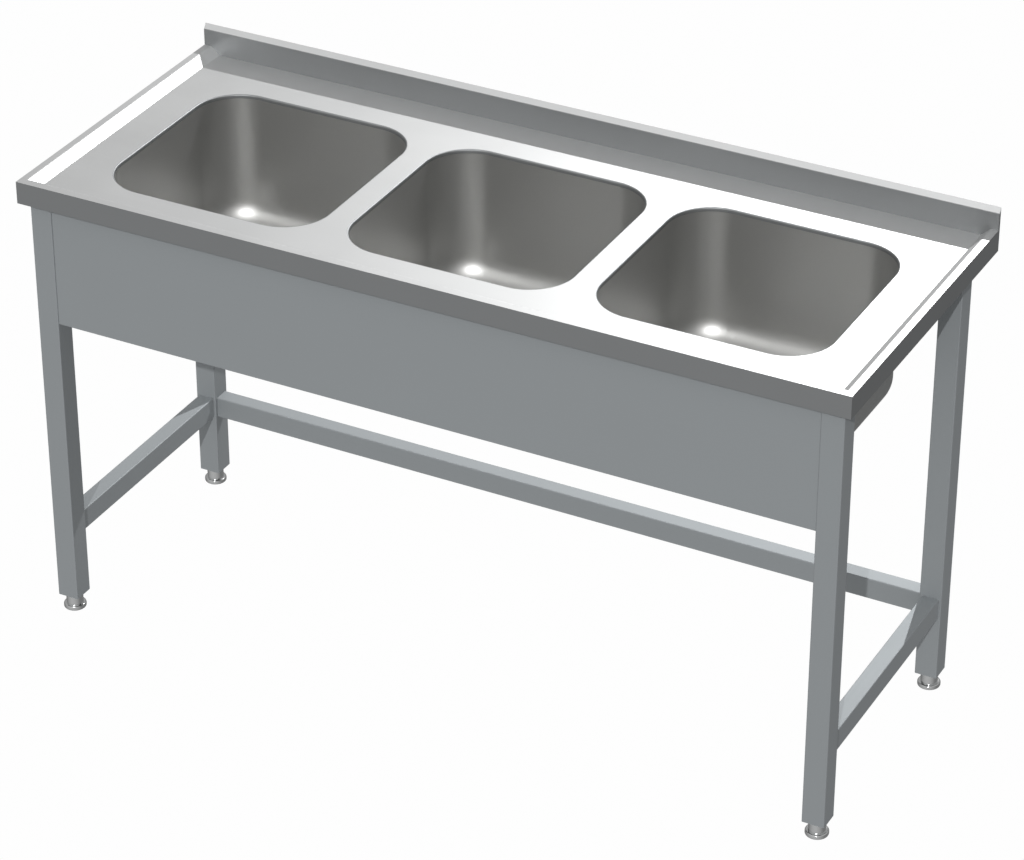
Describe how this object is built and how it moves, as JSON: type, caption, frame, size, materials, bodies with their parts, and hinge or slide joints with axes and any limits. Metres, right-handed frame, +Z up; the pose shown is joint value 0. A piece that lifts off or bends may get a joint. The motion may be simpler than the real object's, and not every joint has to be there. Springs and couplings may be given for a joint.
{
  "type": "three compartment sink",
  "caption": "Stainless steel catering sink on a four-legged welded table: pressed bowls in a row, raised rim, rear splash, front apron, low stretchers and adjustable feet.",
  "frame": {"origin": "on the floor, in the middle of the footprint", "axes": "+X along the length to the right as seen from the front, +Y to the wall behind the splash, +Z up"},
  "size_m": [1.5, 0.6, 0.89],
  "materials": {
    "worktop_steel": "satin brushed stainless sheet",
    "bowl_steel": "satin pressed stainless sheet",
    "frame_steel": "brushed stainless tube and sheet",
    "polished_steel": "polished stainless",
    "grey_plastic": "moulded dark grey",
    "black_rubber": "moulded black"
  },
  "bodies": {
    "sink_table": {"worktop": "worktop_steel", "bowl_left": "bowl_steel", "bowl_middle": "bowl_steel", "bowl_right": "bowl_steel", "leg_front_left": "frame_steel", "leg_rear_left": "frame_steel", "leg_front_right": "frame_steel", "leg_rear_right": "frame_steel", "stretcher_left": "frame_steel", "stretcher_right": "frame_steel", "stretcher_rear": "frame_steel", "rail_left": "frame_steel", "rail_right": "frame_steel", "rail_rear": "frame_steel", "apron_front": "frame_steel", "stiffener_left": "frame_steel", "stiffener_right": "frame_steel", "foot_insert_front_left": "grey_plastic", "foot_insert_rear_left": "grey_plastic", "foot_insert_front_right": "grey_plastic", "foot_insert_rear_right": "grey_plastic", "drain_body_left": "polished_steel", "drain_gasket_left": "black_rubber", "drain_lock_nut_left": "grey_plastic", "drain_coupling_nut_left": "grey_plastic", "drain_tail_left": "grey_plastic", "drain_body_middle": "polished_steel", "drain_gasket_middle": "black_rubber", "drain_lock_nut_middle": "grey_plastic", "drain_coupling_nut_middle": "grey_plastic", "drain_tail_middle": "grey_plastic", "drain_body_right": "polished_steel", "drain_gasket_right": "black_rubber", "drain_lock_nut_right": "grey_plastic", "drain_coupling_nut_right": "grey_plastic", "drain_tail_right": "grey_plastic"},
    "foot_front_left": {"foot_front_left": "polished_steel"},
    "foot_rear_left": {"foot_rear_left": "polished_steel"},
    "foot_front_right": {"foot_front_right": "polished_steel"},
    "foot_rear_right": {"foot_rear_right": "polished_steel"},
    "basket_left": {"basket_left": "polished_steel"},
    "basket_middle": {"basket_middle": "polished_steel"},
    "basket_right": {"basket_right": "polished_steel"}
  },
  "joints": [
    {"name": "foot_front_left_screw", "type": "slide", "parent": "sink_table", "child": "foot_front_left", "axis": [0, 0, -1], "range_m": [0, 0.02]},
    {"name": "foot_rear_left_screw", "type": "slide", "parent": "sink_table", "child": "foot_rear_left", "axis": [0, 0, -1], "range_m": [0, 0.02]},
    {"name": "foot_front_right_screw", "type": "slide", "parent": "sink_table", "child": "foot_front_right", "axis": [0, 0, -1], "range_m": [0, 0.02]},
    {"name": "foot_rear_right_screw", "type": "slide", "parent": "sink_table", "child": "foot_rear_right", "axis": [0, 0, -1], "range_m": [0, 0.02]},
    {"name": "basket_left_lift", "type": "slide", "parent": "sink_table", "child": "basket_left", "axis": [0, 0, 1], "range_m": [0, 0.3]},
    {"name": "basket_middle_lift", "type": "slide", "parent": "sink_table", "child": "basket_middle", "axis": [0, 0, 1], "range_m": [0, 0.3]},
    {"name": "basket_right_lift", "type": "slide", "parent": "sink_table", "child": "basket_right", "axis": [0, 0, 1], "range_m": [0, 0.3]}
  ]
}
